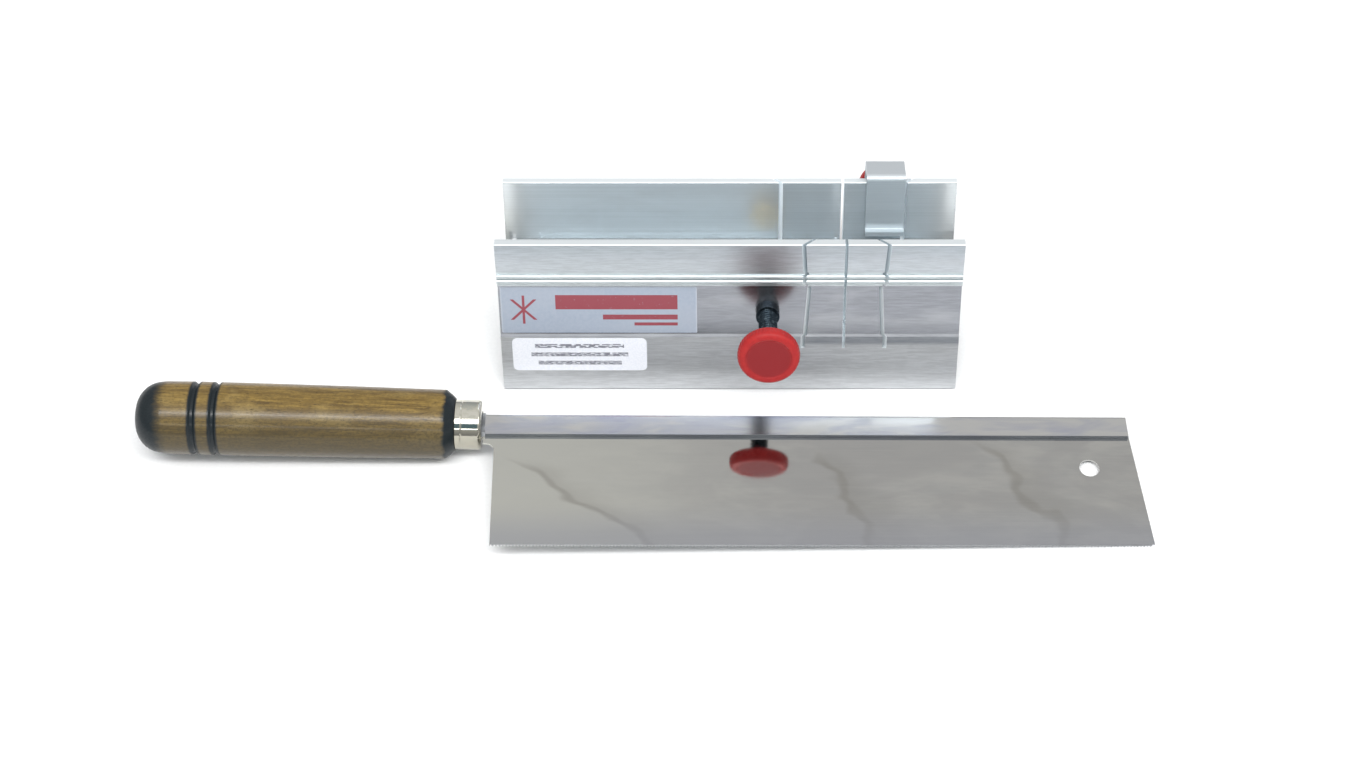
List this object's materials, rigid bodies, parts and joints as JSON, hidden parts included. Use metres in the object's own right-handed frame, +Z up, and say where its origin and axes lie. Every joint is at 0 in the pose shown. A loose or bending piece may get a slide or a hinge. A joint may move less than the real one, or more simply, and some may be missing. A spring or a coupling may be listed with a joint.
{
  "type": "miter box with back saw",
  "caption": "Aluminium miter box with a bench hook lip, a thumb-screw work clamp and a sliding stop clip, with a fine-toothed back saw that has a turned wooden handle.",
  "frame": {"origin": "bottom centre of the whole set as it stands on a table, box behind and saw in front", "axes": "+Z up, +X along the miter box from the saw's handle to its toe, +Y from the lip towards the box's back wall"},
  "size_m": [0.3296, 0.1372, 0.0566],
  "materials": {
    "box_aluminium": "brushed along its length",
    "clip_aluminium": "satin",
    "foil_label": "silver foil sticker with a plain printed mark",
    "paper_label": "white paper sticker with plain printed bars",
    "brass": "turned",
    "black_bushing": "black oxide",
    "black_screw": "black oxide",
    "red_plastic": "moulded",
    "zinc_steel": "zinc plated",
    "nylon": "natural nylon",
    "blade_steel": "ground, with a light patina",
    "spine_steel": "satin",
    "nickel": "nickel plated",
    "handle_wood": "stained and lacquered, with burnt bands"
  },
  "bodies": {
    "root": {"miter_box": "box_aluminium", "panel_label": "foil_label", "apron_label": "paper_label", "clamp_bushing": "black_bushing"},
    "clamp_pad": {"swivel_pad": "brass", "retaining_washer": "zinc_steel"},
    "clamp_screw": {"clamp_screw": "black_screw", "clamp_knob": "red_plastic"},
    "stop_clip": {"stop_clip": "clip_aluminium", "press_nut": "zinc_steel"},
    "stop_tip": {"stop_tip": "nylon"},
    "stop_screw": {"stop_screw": "black_screw", "stop_knob": "red_plastic"},
    "saw": {"saw_blade": "blade_steel", "saw_spine": "spine_steel", "tang": "zinc_steel", "ferrule": "nickel", "handle": "handle_wood"}
  },
  "joints": [
    {"name": "clamp_feed", "type": "slide", "parent": "root", "child": "clamp_pad", "axis": [0, 0.9667, -0.2559], "range_m": [-0.0003, 0.0178]},
    {"name": "clamp_turn", "type": "hinge", "parent": "clamp_pad", "child": "clamp_screw", "pos_m": [0.04106, -0.00944, 0.03586], "axis": [0, 0.9667, -0.2559], "range_deg": [-90, 5050]},
    {"name": "stop_slide", "type": "slide", "parent": "root", "child": "stop_clip", "axis": [1, 0, 0], "range_m": [-0.12, 0.017]},
    {"name": "stop_feed", "type": "slide", "parent": "stop_clip", "child": "stop_tip", "axis": [0, 0.9667, -0.2559], "range_m": [0, 0.0018]},
    {"name": "stop_turn", "type": "hinge", "parent": "stop_tip", "child": "stop_screw", "pos_m": [0.08086, 0.05801, 0.03663], "axis": [0, 0.9667, -0.2559], "range_deg": [0, 820]},
    {"name": "saw_lift", "type": "slide", "parent": "root", "child": "saw", "axis": [0, -0.7071, 0.7071], "range_m": [0, 0.12]}
  ],
  "couplings": [
    {"joint": "clamp_turn", "follows": "clamp_feed", "rad_per_m": 4947.4},
    {"joint": "stop_turn", "follows": "stop_feed", "rad_per_m": 7913.3}
  ]
}
